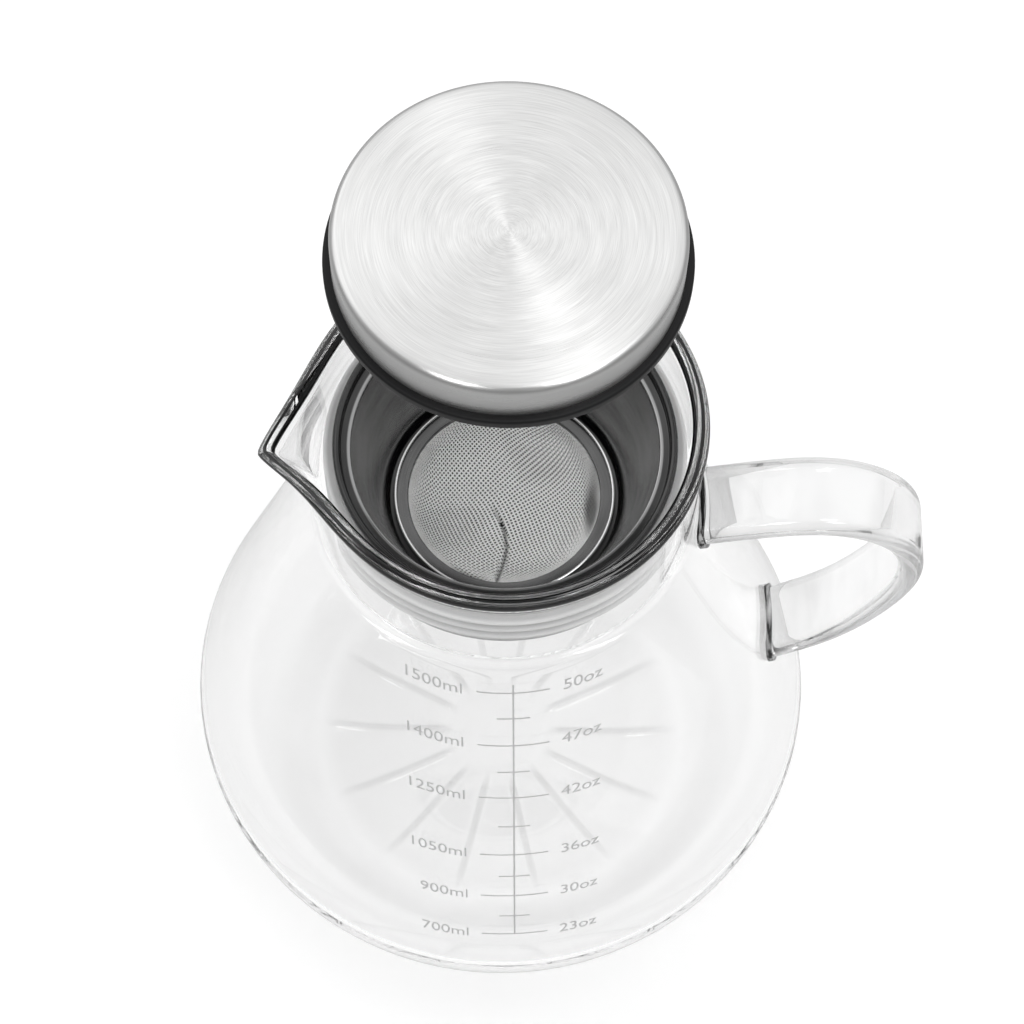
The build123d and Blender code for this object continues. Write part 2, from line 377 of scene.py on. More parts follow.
def apply_modifier(piece, kind, **settings):
    """Adds a modifier with these settings and applies it."""
    pick(piece)
    modifier = piece.modifiers.new(kind.title(), kind)
    for name, value in settings.items():
        setattr(modifier, name, value)
    bpy.ops.object.modifier_apply(modifier=modifier.name)


def move_vertices(piece, place):
    """Puts every vertex where place(its coordinates) says."""
    for vertex in piece.data.vertices:
        vertex.co = place(vertex.co)
    piece.data.update()


# ================================================================ shader maths
class Value:
    """A number that varies over a surface, combined by Python's own operators."""

    def __init__(self, nodes, socket):
        self.nodes = nodes
        self.socket = socket

    def __add__(self, other):
        return self.nodes.math("ADD", self, other)

    def __sub__(self, other):
        return self.nodes.math("SUBTRACT", self, other)

    def __rsub__(self, other):
        return self.nodes.math("SUBTRACT", other, self)

    def __mul__(self, other):
        return self.nodes.math("MULTIPLY", self, other)

    def __truediv__(self, other):
        return self.nodes.math("DIVIDE", self, other)

    def __pow__(self, other):
        return self.nodes.math("POWER", self, other)

    __radd__ = __add__

    def limited(self):
        """The value held between 0 and 1."""
        return self.nodes.math("ADD", self, 0.0, clamp=True)

    def rise(self, start, over):
        """0 up to start, then growing to 1 over a distance."""
        return ((self - start) / over).limited()

    def fall(self, end, over):
        """1 at first, then shrinking over a distance to 0 at end."""
        return ((end - self) / over).limited()

    def near(self, middle, half):
        """1 at the middle and 0 from half away on, with a soft edge."""
        away = (self - middle) / half
        return (1.0 - away * away).limited()


class NodeTree:
    """The nodes of a material or of the world, which are all made by node()."""

    def __init__(self, owner, output):
        self.owner = owner
        owner.use_nodes = True
        self.tree = owner.node_tree
        self.tree.nodes.clear()
        self.output = self.node(output)

    def feed(self, socket, value):
        """Links a Value or an output to the socket, or sets the constant there."""
        value = value.socket if isinstance(value, Value) else value
        if isinstance(value, bpy.types.NodeSocket):
            self.tree.links.new(value, socket)
        elif socket.type == "RGBA":
            socket.default_value = (*value, 1)
        else:
            socket.default_value = value

    def node(self, kind, settings=None, inputs=None):
        """Adds a node with its settings first, then the values or links of its sockets."""
        made = self.tree.nodes.new(kind)
        for name, value in (settings or {}).items():
            setattr(made, name, value)
        pairs = inputs.items() if isinstance(inputs, dict) else enumerate(inputs or ())
        for key, value in pairs:
            self.feed(made.inputs[key], value)
        return made

    def math(self, operation, *operands, clamp=False):
        """What one Math node makes of its operands."""
        node = self.node("ShaderNodeMath", {"operation": operation, "use_clamp": clamp}, operands)
        return Value(self, node.outputs[0])

    def rays(self, kind):
        """1 for the rays of this kind and 0 for all others."""
        return Value(self, self.node("ShaderNodeLightPath").outputs[f"Is {kind} Ray"])

    def mixed(self, share, first, second):
        """The first shader, with a share of the second."""
        return self.node("ShaderNodeMixShader", None, [share, first, second]).outputs[0]

    def coordinates(self, kind):
        """Texture coordinates of one kind, as three Values."""
        where = self.node("ShaderNodeTexCoord").outputs[kind]
        parts = self.node("ShaderNodeSeparateXYZ", None, [where])
        return [Value(self, socket) for socket in parts.outputs]

    def show(self, shader):
        """Joins the shader to the output, and hands back what it is the finish of."""
        self.feed(self.output.inputs["Surface"], shader)
        return self.owner


class Finish(NodeTree):
    """One material and its nodes."""

    def __init__(self, name):
        super().__init__(bpy.data.materials.new(name), "ShaderNodeOutputMaterial")

    def point(self, x, y, z):
        """A vector from three numbers or Values."""
        return self.node("ShaderNodeCombineXYZ", None, [x, y, z]).outputs[0]

    def attribute(self, name):
        """A number that the mesh carries on its vertices."""
        return Value(self, self.node("ShaderNodeAttribute", {"attribute_name": name}).outputs["Fac"])

    def noise(self, vector, scale, detail, roughness=0.5):
        """Smooth noise between 0 and 1."""
        settings = {"noise_dimensions": "3D"}
        inputs = {"Vector": vector, "Scale": scale, "Detail": detail, "Roughness": roughness}
        return Value(self, self.node("ShaderNodeTexNoise", settings, inputs).outputs["Fac"])

    def tint(self, amount, low, high):
        """A colour between two colours, each of them three numbers or an output."""
        mix = self.node("ShaderNodeMix", {"data_type": "RGBA"})
        for name, value in (("Factor", amount), ("A", low), ("B", high)):
            self.feed(next(s for s in mix.inputs if s.name == name and s.enabled), value)
        return next(s for s in mix.outputs if s.enabled)

    def bump(self, height, strength, distance):
        """A normal bent by a height."""
        inputs = {"Height": height, "Strength": strength, "Distance": distance}
        return self.node("ShaderNodeBump", None, inputs).outputs[0]

    def principled(self, **values):
        """A Principled shader; spaces in its sockets' names are written as underscores."""
        inputs = {name.replace("_", " "): value for name, value in values.items()}
        return self.node("ShaderNodeBsdfPrincipled", None, inputs).outputs[0]

    def glowing(self, strength):
        """White light."""
        inputs = {"Color": (1, 1, 1), "Strength": strength}
        return self.node("ShaderNodeEmission", None, inputs).outputs[0]

    def see_through(self, share):
        """Lets a share of the light pass."""
        return self.node("ShaderNodeBsdfTransparent", None, {"Color": (share,) * 3}).outputs[0]


def scaled(colour, factor):
    """A colour made darker or lighter."""
    return tuple(min(c * factor, 1.0) for c in colour)


def from_axis(x, y):
    """Distance from the Z axis."""
    return (x * x + y * y) ** 0.5


# ================================================================ the finishes
def jug_painted_shade(finish, x, y, z):
    """Painted shade in the jug's glass, for the dark refractions it shows: grey lines on the base's grooves,
    a dark band at the heel, grey over the base and dark streaky lines round the rim.
    """
    radius = from_axis(x, y)
    sector = 2 * pi / rib_count
    turns = finish.math("ARCTAN2", y, x) * (1 / sector) + rib_count + 0.5
    off = finish.math("ABSOLUTE", finish.math("FRACT", turns) - 0.5)
    # painted shade along the base's grooves
    across = (off * radius * sector).near(0.0, 1.1 * MM)
    ribs = across * radius.rise(boss_radius, 4 * MM) * radius.fall(rib_end, 8 * MM)
    cloud = finish.noise(finish.point(x, y, z), 40.0, 2.0)
    # painted shade in a soft band round the heel, and over the base
    heel = radius.near(53.5 * MM, 6.5 * MM) * (cloud * 0.13 + 0.01)
    bottom = radius.fall(52 * MM, 10 * MM) * 0.12 + 0.01
    low = z.fall(16 * MM, 6 * MM)

    # painted dark lines along the rim's roll, streaky, which stand in for its dark refractions and
    # reflections
    roll = finish.attribute("roll")
    streak = finish.noise(finish.point(x * 30.0, y * 30.0, roll * 7.0), 1.0, 1.5) * 2.0
    lines = sum(roll.near(middle, half) for middle, half in roll_lines)
    rolled = finish.attribute("rim") * (lines * 1.9 + 0.08) * streak
    return (ribs * 0.11 + heel + bottom) * low + rolled + 0.008


def strap_painted_shade(finish, x, y, z):
    """Painted shade in the handle's glass: grey clouds, a grey over all of it, and darker along its edges,
    for the dark refractions there.
    """
    rounded = 1.8 * MM
    cloud = finish.noise(finish.point(x, y * 0.5, z), 60.0, 2.0)
    side = finish.math("ABSOLUTE", y).rise(strap_width / 2 - rounded, rounded)
    return ((cloud - 0.5) * 0.9).limited() + side * 0.28 + 0.1


def weld_painted_shade(finish, x, y, z):
    """Painted shade in the fused pads, uneven, which darkens the lines where the handle meets the jug."""
    return finish.noise(finish.point(x, y * 0.12, z), 700.0, 1.0) * 3.2 - 0.8


def clear_glass(name, wave, shade):
    """Blown glass with a faint wave in its surface, which lets lamps light what is behind it, and whose
    colour is darkened by painted shade from its last argument.
    """
    finish = Finish(name)
    x, y, z = finish.coordinates("Object")
    where = finish.point(x, y, z * 0.5)
    glass = finish.principled(
        # the glass's colour is darkened by the painted shade
        Base_Color=finish.tint(shade(finish, x, y, z).limited(), (1, 1, 1), (0, 0, 0)),
        Roughness=finish.noise(where, 900.0, 2.0) * 0.004,
        IOR=1.5,
        Transmission_Weight=1.0,
        Normal=finish.bump(finish.noise(where, 55.0, 1.0), 1.0, wave),
    )
    # less of a lamp's light comes through where the glass is seen edge on
    facing = finish.node("ShaderNodeLayerWeight", None, {"Blend": 0.5}).outputs["Facing"]
    slant = Value(finish, facing) ** 1.6
    passed = finish.mixed(slant, finish.see_through(0.98), finish.see_through(0.7))
    return finish.show(finish.mixed(finish.rays("Shadow"), glass, passed))


def turned_steel(name, colour, roughness, anisotropy, stroke, streaks, tone_and_reflection_clouds, painted_band):
    """Steel brushed on a lathe: fine strokes that run round the axis, with cloudier bands, which where they
    are strong are painted reflections.

    The last argument is (where, colour, roughness) of a band painted lighter or darker than the rest, a
    painted highlight or painted shade, where being a function of the radius and the height that gives 1 there
    and 0 elsewhere.
    """
    finish = Finish(name)
    x, y, z = finish.coordinates("Object")
    radius = from_axis(x, y)
    across = (radius + z) / stroke
    round_x, round_y = x / (radius + MM), y / (radius + MM)
    fine = finish.noise(finish.point(across, round_x * streaks, round_y * streaks), 1.0, 2.0, 0.6)
    coarse = finish.noise(finish.point(across * 0.24, round_x * 3, round_y * 3), 1.0, 2.0, 0.6)
    broad = finish.noise(finish.point(across * 0.04, x * 60.0, y * 60.0), 1.0, 2.0)
    shade = (fine - 0.5) * 1.2 + (coarse - 0.5) * 0.6 + (broad - 0.5) * tone_and_reflection_clouds + 0.5
    brushed = finish.tint(shade.limited(), scaled(colour, 0.72), scaled(colour, 1.14))
    where, painted_band_colour, edge_roughness = painted_band
    there = where(radius, z).limited()
    uneven = (fine - 0.5) * 0.2 + (broad - 0.5) * 0.15
    metal = finish.principled(
        # the band is painted lighter or darker than the brushed steel: painted highlight or painted shade
        Base_Color=finish.tint(there, brushed, painted_band_colour),
        Metallic=1.0,
        Roughness=uneven + roughness + there * (edge_roughness - roughness),
        Anisotropic=anisotropy,
        Anisotropic_Rotation=0.25,
        Normal=finish.bump(fine, 1.0, 0.004 * MM),
    )
    return finish.show(metal)


def wire_steel(name, colour):
    """Drawn steel wire, a little uneven from place to place, lighter than the steel and not metal as painted
    sheen for its glints, and darker down in the cloth's folds as painted shade.
    """
    finish = Finish(name)
    patches = finish.noise(finish.point(*finish.coordinates("Object")), 180.0, 2.0)
    # painted sheen: the steel's colour raised, and left without metal
    drawn = finish.tint(patches, scaled(colour, 1.15), scaled(colour, 1.2))
    wire = finish.principled(
        # painted shade down in the cloth's folds
        Base_Color=finish.tint(finish.attribute("fold") * 0.7, drawn, (0, 0, 0)),
        Metallic=0.0,
        Roughness=patches * 0.15 + 0.25,
        Specular_IOR_Level=0.9,
    )
    return finish.show(wire)


def shaded_filter_cloth(name):
    """Very fine steel cloth, painted near black as painted shade for what is seen through the coarse cloth's
    holes, with a few of its holes open.
    """
    finish = Finish(name)
    x, y, z = finish.coordinates("Object")
    turns = 2 * pi / (0.22 * MM)
    weave = finish.math("SINE", x * turns) * finish.math("SINE", y * turns)
    patches = finish.noise(finish.point(x, y, z), 250.0, 2.0)
    metal = finish.principled(
        Base_Color=finish.tint(patches, (0.015,) * 3, (0.05,) * 3),
        Metallic=1.0,
        Roughness=patches * 0.2 + 0.4,
        Alpha=finish.math("LESS_THAN", weave, 0.85),
    )
    return finish.show(metal)


def silicone(name, colour, roughness, clear=0.0, shaded_recess=0.0):
    """Moulded silicone with a fine grain, darker nearer the axis than its last argument: painted shade in the
    grooves between the fins.
    """
    finish = Finish(name)
    x, y, z = finish.coordinates("Object")
    where = finish.point(x, y, z)
    broad = finish.noise(where, 120.0, 2.0)
    plain = finish.tint(broad, scaled(colour, 0.85), scaled(colour, 1.25))
    deep = from_axis(x, y).fall(shaded_recess, 0.6 * MM)
    rubber = finish.principled(
        Base_Color=finish.tint(deep * 0.36, plain, (0, 0, 0)),
        Roughness=broad * 0.12 + roughness,
        Specular_IOR_Level=0.25,
        Transmission_Weight=clear,
        Normal=finish.bump(finish.noise(where, 4000.0, 2.0), 0.4, 0.01 * MM),
    )
    return finish.show(rubber)


def fired_enamel(name, colour):
    """Fired enamel print, slightly uneven in its cover."""
    finish = Finish(name)
    cover = finish.noise(finish.point(*finish.coordinates("Object")), 1500.0, 3.0)
    paint = finish.principled(
        Base_Color=finish.tint(cover, scaled(colour, 0.85), scaled(colour, 1.15)),
        Roughness=cover * 0.2 + 0.45,
    )
    return finish.show(paint)


def moulded_plastic(name, colour):
    """Plain moulded plastic with a fine spark-eroded grain."""
    finish = Finish(name)
    grain = finish.noise(finish.point(*finish.coordinates("Object")), 2500.0, 2.0)
    plastic = finish.principled(
        Base_Color=finish.tint(grain, scaled(colour, 0.8), scaled(colour, 1.2)),
        Roughness=grain * 0.15 + 0.5,
        Normal=finish.bump(grain, 0.5, 0.02 * MM),
    )
    return finish.show(plastic)


# ================================================================ the jug
def jug_side(inset, neck_inset):
    """Points up one face of the jug's wall, from the middle of its floor to its neck's top."""
    turn_radius = belly_shoulder - inset
    cone_foot = (
        shoulder_centre + turn_radius * cos(cone_angle),
        belly_height + turn_radius * sin(cone_angle),
    )
    neck = neck_radius - neck_inset
    blend_radius = neck_blend + inset
    cone_top_radius = neck + blend_radius * (1 - cos(cone_angle))
    cone_top_height = cone_foot[1] + (cone_foot[0] - cone_top_radius) / tan(cone_angle)
    blend_height = cone_top_height + blend_radius * sin(cone_angle)
    bead_meets = rim_height - sqrt(max(rim_bead**2 - (neck - rim_radius) ** 2, 0))
    return joined(
        line((0, inset), (foot_radius, inset), 16),
        arc((foot_radius, heel_radius), heel_radius - inset, -90, -heel_slope, 28),
        arc((underside_centre, belly_height), belly_underside - inset, -heel_slope, 0, 16),
        arc((shoulder_centre, belly_height), turn_radius, 0, cone_slope, 8),
        line(cone_foot, (cone_top_radius, cone_top_height), 6),
        arc((neck + blend_radius, blend_height), blend_radius, 180 + cone_slope, 180, 10),
        line((neck, blend_height), (neck, lip_start), 6),
        line((neck, lip_start), (neck, bead_meets), 20),
    )


def outer_radius(height):
    """Radius of the jug's outer face on its cone."""
    foot_height = belly_height + belly_shoulder * sin(cone_angle)
    foot = shoulder_centre + belly_shoulder * cos(cone_angle)
    return foot - (height - foot_height) * tan(cone_angle)


def rim_arc():
    """The rolled rim, from the outer face over the top to the inner face."""

    def down_to(offset):
        """Degrees below level at which the bead meets a face at this offset from its middle."""
        return degrees(atan2(sqrt(rim_bead**2 - offset**2), offset))

    outer = -down_to(neck_radius - rim_radius)
    inner = 180 + down_to(rim_radius - (neck_radius - neck_wall))
    return arc((rim_radius, rim_height), rim_bead, outer, inner, 26)


def groove(x, y, depth):
    """How deep the base is grooved here: ribs that run outwards, and a ring round the boss."""
    r = hypot(x, y)
    spacing = 2 * pi / rib_count
    off = (atan2(y, x) + spacing / 2) % spacing - spacing / 2
    fade = held((r - boss_radius) / (2 * MM)) * held((rib_end - r) / (4 * MM))
    rib = hump(r * sin(off), rib_half_width) * fade
    ring = hump(r - boss_radius - rib_half_width, rib_half_width)
    return depth * max(rib, ring)


class CARAFE_OT_body(bpy.types.Operator):
    """Spin the jug's wall, draw out its pouring lip and groove its base"""

    bl_idname = "carafe.body"
    bl_label = "Glass Jug"

    def execute(self, context):
        sizes = context.scene.carafe_sizes
        inner = list(reversed(jug_side(wall, neck_wall)))
        piece = turned("carafe_glass", joined(jug_side(0, 0), rim_arc(), inner), jug_steps)

        # before the lip is drawn out, the vertices are marked as rim or not, and by their place on its roll,
        # for the rim's painted dark lines
        rim = piece.data.attributes.new("rim", "FLOAT", "POINT")
        roll = piece.data.attributes.new("roll", "FLOAT", "POINT")
        for i, vertex in enumerate(piece.data.vertices):
            up = vertex.co.z - rim_height
            out = hypot(vertex.co.x, vertex.co.y) - rim_radius
            rim.data[i].value = held((up + rim_foot) / rim_fade)
            roll.data[i].value = (degrees(atan2(up, out) % (2 * pi)) - roll_start) % 360 / roll_span

        def shaped(co):
            x, y, z = co
            r = hypot(x, y)
            if z > lip_start:
                climb = min((z - lip_start) / (rim_height - lip_start), 1) ** 2
                away = (degrees(atan2(y, x)) - lip_tip + 180) % 360 - 180
                share = exp(-((abs(away) / sizes.lip_width) ** 1.25)) * climb
                out = 1 + sizes.lip_reach * share / r
                return Vector((x * out, y * out, z - sizes.lip_drop * share))
            under = r - foot_radius
            level = heel_radius - sqrt(heel_radius**2 - under**2) if 0 < under < heel_radius else 0
            if r < rib_end and abs(z - level) < wall / 2:
                return Vector((x, y, z + groove(x, y, sizes.rib_depth)))
            return co

        move_vertices(piece, shaped)
        material = clear_glass("pressed glass", 0.03 * MM, jug_painted_shade)
        finished(piece, "jug", material, ["carafe_body"], angle=60)
        return {"FINISHED"}


# ================================================================ the handle
def smooth_route(points, steps):
    """Places on the natural cubic spline through the points, evenly spread over its parameter."""
    spans = [(b - a).length for a, b in zip(points, points[1:])]
    knots = np.concatenate(([0.0], np.cumsum(spans)))
    count = len(points)
    system = np.eye(count)
    right = np.zeros((count, 3))
    places = np.array(points)
    for i in range(1, count - 1):
        before, after = spans[i - 1], spans[i]
        system[i, i - 1 : i + 2] = before, 2 * (before + after), after
        right[i] = 6 * ((places[i + 1] - places[i]) / after - (places[i] - places[i - 1]) / before)
    bends = np.linalg.solve(system, right)
    route = []
    for t in spread(0, knots[-1], steps):
        i = min(int(np.searchsorted(knots, t, side="right")) - 1, count - 2)
        span, a, b = spans[i], knots[i + 1] - t, t - knots[i]
        route.append(
            Vector(
                bends[i] * a**3 / (6 * span)
                + bends[i + 1] * b**3 / (6 * span)
                + (places[i] / span - bends[i] * span / 6) * a
                + (places[i + 1] / span - bends[i + 1] * span / 6) * b
            )
        )
    return route


def strap(name, margin):
    """A flat strap with rounded edges, extruded along the handle's route."""
    route = smooth_route(strap_route, strap_steps)
    pick()
    bpy.ops.mesh.primitive_plane_add(size=1)
    piece = bpy.context.object
    piece.name = name
    bpy.ops.object.mode_set(mode="EDIT")
    bpy.ops.transform.resize(value=(strap_thickness + 2 * margin, strap_width + 2 * margin, 1))
    bpy.ops.mesh.bevel(offset=strap_edge + margin, segments=7, affect="VERTICES")
    bpy.ops.object.mode_set(mode="OBJECT")
    # the section stands square to the start of the route, its thickness in the plane of the route
    directions = [route[1] - route[0]]
    directions += [after - before for before, after in zip(route, route[2:])]
    directions.append(route[-1] - route[-2])
    angles = np.unwrap([atan2(d.x, d.z) for d in directions])
    piece.data.transform(Matrix.Translation(route[0]) @ Matrix.Rotation(angles[0], 4, "Y"))
    bpy.ops.object.mode_set(mode="EDIT")
    bpy.ops.mesh.select_all(action="SELECT")
    for i in range(1, len(route)):
        extrude(route[i] - route[i - 1])
        turn = -(angles[i] - angles[i - 1])
        bpy.ops.transform.rotate(value=turn, orient_axis="Y", center_override=route[i])
    clean(piece)
    return piece


def cut(piece, operation, margin):
    """Cuts the piece with a plug of the jug's shape, which is larger all round by margin."""
    low, high = cutter_span
    side = [point for point in jug_side(-margin, -margin) if low < point[1] < high]
    plug = turned("plug", [(0, low)] + side + [(0, high)], jug_steps)
    apply_modifier(piece, "BOOLEAN", operation=operation, object=plug, solver="EXACT")
    bpy.data.objects.remove(plug)


class CARAFE_OT_handle(bpy.types.Operator):
    """Extrude the glass strap and the two pads that fuse it to the jug"""

    bl_idname = "carafe.handle"
    bl_label = "Glass Handle"

    def execute(self, context):
        material = clear_glass("clear glass", 0.03 * MM, strap_painted_shade)
        piece = strap("handle_glass", 0)
        cut(piece, "DIFFERENCE", pad_thickness)
        finished(piece, "jug", material, ["handle"], angle=35)

        weld = clear_glass("weld glass", 0.05 * MM, weld_painted_shade)
        pads = strap("handle_pads", pad_margin)
        cut(pads, "DIFFERENCE", weld_gap)
        cut(pads, "INTERSECT", pad_thickness - weld_gap)
        apply_modifier(pads, "BEVEL", width=0.25 * MM, segments=3, angle_limit=radians(40))
        pick(pads)
        bpy.ops.object.mode_set(mode="EDIT")
        bpy.ops.mesh.separate(type="LOOSE")
        bpy.ops.object.mode_set(mode="OBJECT")
        halves = sorted(context.selected_objects, key=lambda o: max(v.co.z for v in o.data.vertices))
        if len(halves) != 2:
            raise RuntimeError(f"the handle has {len(halves)} pads, and it needs 2")
        for half, name in zip(halves, ("lower", "upper")):
            half.name = f"{name}_pad_glass"
            finished(half, "jug", weld, [f"{name}_handle_pad"], angle=35)
        return {"FINISHED"}


# ================================================================ the strainer
class CARAFE_OT_strainer(bpy.types.Operator):
    """Spin the strainer's collar, funnel and mesh ring from sheet steel"""

    bl_idname = "carafe.strainer"
    bl_label = "Strainer Metalwork"

    def execute(self, context):
        # all the strainer's pieces are of this darkened steel, painted shade
        plain = context.scene.carafe_colours.strainer_steel_in_shade

        def spun(name, node, outline, shade, painted_band, painted_band_shade, edge_roughness, angle):
            """One piece of spun steel, darkened by shade as painted shade, with a band that is painted
            lighter or darker.
            """
            material = turned_steel(
                name.replace("_", " "), scaled(plain, shade), roughness=0.2, anisotropy=0.4, stroke=0.18 * MM,
                streaks=3.0, tone_and_reflection_clouds=2.6, painted_band=(painted_band, scaled(plain, painted_band_shade), edge_roughness),
            )
            piece = turned(name, outline, spun_steps)
            finished(piece, "strainer", material, [node], angle=angle)

        inside = collar_radius - sheet
        bead_middle = collar_top - collar_bead
        outline = joined(
            [(inside, collar_bottom)],
            line((collar_radius, collar_bottom), (collar_radius, bead_middle - collar_bead), 6),
            arc((collar_radius, bead_middle), collar_bead, -90, 180, 18),
            arc((inside - bend, shelf_top + bend), bend, 0, -90, 4),
            arc((mouth_radius + sheet / 2, shelf_top - sheet / 2), sheet / 2, 90, 270, 10),
            line((inside, shelf_top - sheet), (inside, collar_bottom), 6)[:-1],
        )
        # the collar painted dark, painted shade, and its inner edge at the mouth painted light, a painted
        # highlight
        spun("collar_steel", "strainer_collar", outline, shade=0.3, painted_band_shade=1.5, edge_roughness=0.15,
             painted_band=lambda radius, z: radius.fall(mouth_radius + 0.9 * MM, 0.3 * MM), angle=50)

        top = shelf_top - sheet - weld_gap
        foot = foot_top - weld_gap
        outline = joined(
            line((mouth_radius, top), (throat_radius, throat_height), 14),
            arc((throat_radius - foot_bend, foot + foot_bend), foot_bend, 0, -90, 4),
            [(foot_opening, foot), (foot_opening, foot - sheet)],
            arc((throat_radius, foot), sheet, -90, 0, 6),
            line((throat_radius + sheet, throat_height), (mouth_radius + sheet, top - sheet), 14),
            [(mouth_radius + funnel_lip, top - sheet), (mouth_radius + funnel_lip, top)],
        )
        # the funnel's throat painted darker, painted shade
        spun("funnel_steel", "strainer_funnel", outline, shade=1.0, painted_band_shade=0.4, edge_roughness=0.3,
             painted_band=lambda radius, z: z.fall(throat_height, MM), angle=35)

        bead = sheet / 2
        outline = joined(
            [(ring_inner, ring_bottom), (ring_outer, ring_bottom)],
            arc((ring_outer - bead, ring_top - bead), bead, 0, 180, 10),
            [(ring_outer - sheet, ring_bottom + ring_sheet)],
            arc((ring_inner + bend, ring_bottom + ring_sheet - bend), bend, 90, 180, 4),
        )
        # the ring painted darker, painted shade, and the top of its bead painted light, a painted highlight
        spun("ring_steel", "mesh_ring", outline, shade=0.6, painted_band_shade=3.2, edge_roughness=0.15,
             painted_band=lambda radius, z: z.rise(ring_top - 0.5 * MM, 0.2 * MM), angle=50)
        return {"FINISHED"}


class CARAFE_OT_seal(bpy.types.Operator):
    """Spin the finned silicone sleeve that holds the strainer in the neck"""

    bl_idname = "carafe.seal"
    bl_label = "Strainer Seal"

    def execute(self, context):
        inner = collar_radius + weld_gap
        outer = collar_radius + sleeve_thickness
        half = fin_thickness / 2
        tip = fin_radius - half
        runs = [[(inner, sleeve_bottom), (outer, sleeve_bottom)]]
        for height in fin_heights:
            runs.append(line((outer, height - half), (tip, height - half), 2))
            runs.append(arc((tip, height), half, -90, 90, 8))
            runs.append(line((tip, height + half), (outer, height + half), 2))
        runs.append([(outer, sleeve_top), (inner, sleeve_top)])
        piece = turned("seal_silicone", joined(*runs), spun_steps)
        colour = context.scene.carafe_colours.seal
        # painted shade in the grooves between the seal's fins
        material = silicone("grey silicone", colour, 0.3, clear=0.15, shaded_recess=fin_radius - 0.4 * MM)
        finished(piece, "strainer", material, ["strainer_seal"], angle=50)
        return {"FINISHED"}


# ================================================================ the mesh bag
def bag_profile(steps=200):
    """Lengths along the bag from its middle, and the radius and the share of its depth reached there."""
    lengths, places = [0.0], [(0.0, -1.0)]
    for a in spread(0, 90, steps)[1:]:
        place = (sin(radians(a)), -cos(radians(a)))
        before = places[-1]
        step = hypot((place[0] - before[0]) * ring_inner, (place[1] - before[1]) * bag_depth)
        lengths.append(lengths[-1] + step)
        places.append(place)
    return np.array(lengths), np.array([p[0] * ring_inner for p in places]), np.array([p[1] for p in places])


def crease(x, y):
    """How far the cloth is pushed up, or down where it is pinched, worked out in millimetres."""
    x, y = x / MM, y / MM
    off = x - np.interp(y, *zip(*crease_route))
    along = held((5.5 - y) / 5.0) * held((y + 17.5) / 2.0)
    fold = hump(off, 0.50) * along
    swell = hump(off + 1.6, 1.5) * along
    dent = hump(x - 18.6, 1.3) * hump(y, 6.5)
    front = hump(hypot(x, y) - 17.0, 1.0) * hump(x + 7.0, 3.5) * (y < 0)
    ripple = sin(x * 0.9 + 1.3 * sin(y * 0.35)) * cos(y * 0.55 + 0.8 * sin(x * 0.4))
    return (0.12 * ripple + 0.5 * swell - 1.3 * fold - 1.6 * dent - 1.5 * front) * MM


def crimped_wire(pitch, radius, phase):
    """Two pitches of wire along X, which rise over a crossing wire and dip under the next."""
    pick()
    bpy.ops.mesh.primitive_circle_add(vertices=4, radius=radius, rotation=(0, pi / 2, 0))
    bpy.ops.object.transform_apply(rotation=True)
    bpy.ops.object.mode_set(mode="EDIT")
    bpy.ops.transform.translate(value=(-pitch / 2, 0, phase * radius))
    for rise in (-1, -1, 1, 1):
        extrude((pitch / 2, 0, rise * phase * radius))
    bpy.ops.object.mode_set(mode="OBJECT")
    return bpy.context.object


def flat_cloth(pitch, radius, turn, reach):
    """Woven cloth, laid flat and trimmed round at its reach."""
    # two wires run along X and two along Y, each pair half a weave apart
    wires = [crimped_wire(pitch, radius, phase) for phase in (1, -1)]
    wires[1].data.transform(Matrix.Translation((0, pitch, 0)))
    for wire in wires[:2]:
        pick(wire)
        bpy.ops.object.duplicate()
        copy = bpy.context.object
        copy.data.transform(Matrix.Rotation(pi / 2, 4, "Z"))
        copy.data.transform(Matrix.Scale(-1, 4, (0, 0, 1)))
        wires.append(copy)
        wire.data.flip_normals()
    wires[2].data.transform(Matrix.Translation((-pitch / 2, pitch / 2, 0)))
    wires[3].data.transform(Matrix.Translation((pitch * 1.5, pitch / 2, 0)))
    pick(*wires)
    bpy.ops.object.join()
    piece = bpy.context.object
    piece.name = "mesh_cloth"

    # enough cloth is woven that it still covers the round after its wires have wandered
    cells = 2 * ceil((reach + 3 * MM) / (2 * pitch)) + 2
    for direction in ((2 * pitch, 0, 0), (0, 2 * pitch, 0)):
        apply_modifier(
            piece, "ARRAY", count=cells, use_relative_offset=False, use_constant_offset=True,
            constant_offset_displace=direction, use_merge_vertices=True, merge_threshold=0.01 * MM,
        )
    middle = Matrix.Translation((-pitch * cells, -pitch * cells, 0))
    piece.data.transform(Matrix.Rotation(radians(turn), 4, "Z") @ middle)
    # the wires wander, as the loose cloth was pulled about before it was pressed
    move_vertices(piece, lambda co: co + MM * Vector((
        1.9 * sin(co.y / (5.2 * MM) + 0.6), 1.7 * sin(co.x / (6.3 * MM) + 1.9), 0)))
    mesh = bmesh.new()
    mesh.from_mesh(piece.data)
    outside = [v for v in mesh.verts if hypot(v.co.x, v.co.y) > reach]
    bmesh.ops.delete(mesh, geom=outside, context="VERTS")
    mesh.to_mesh(piece.data)
    mesh.free()
    return piece


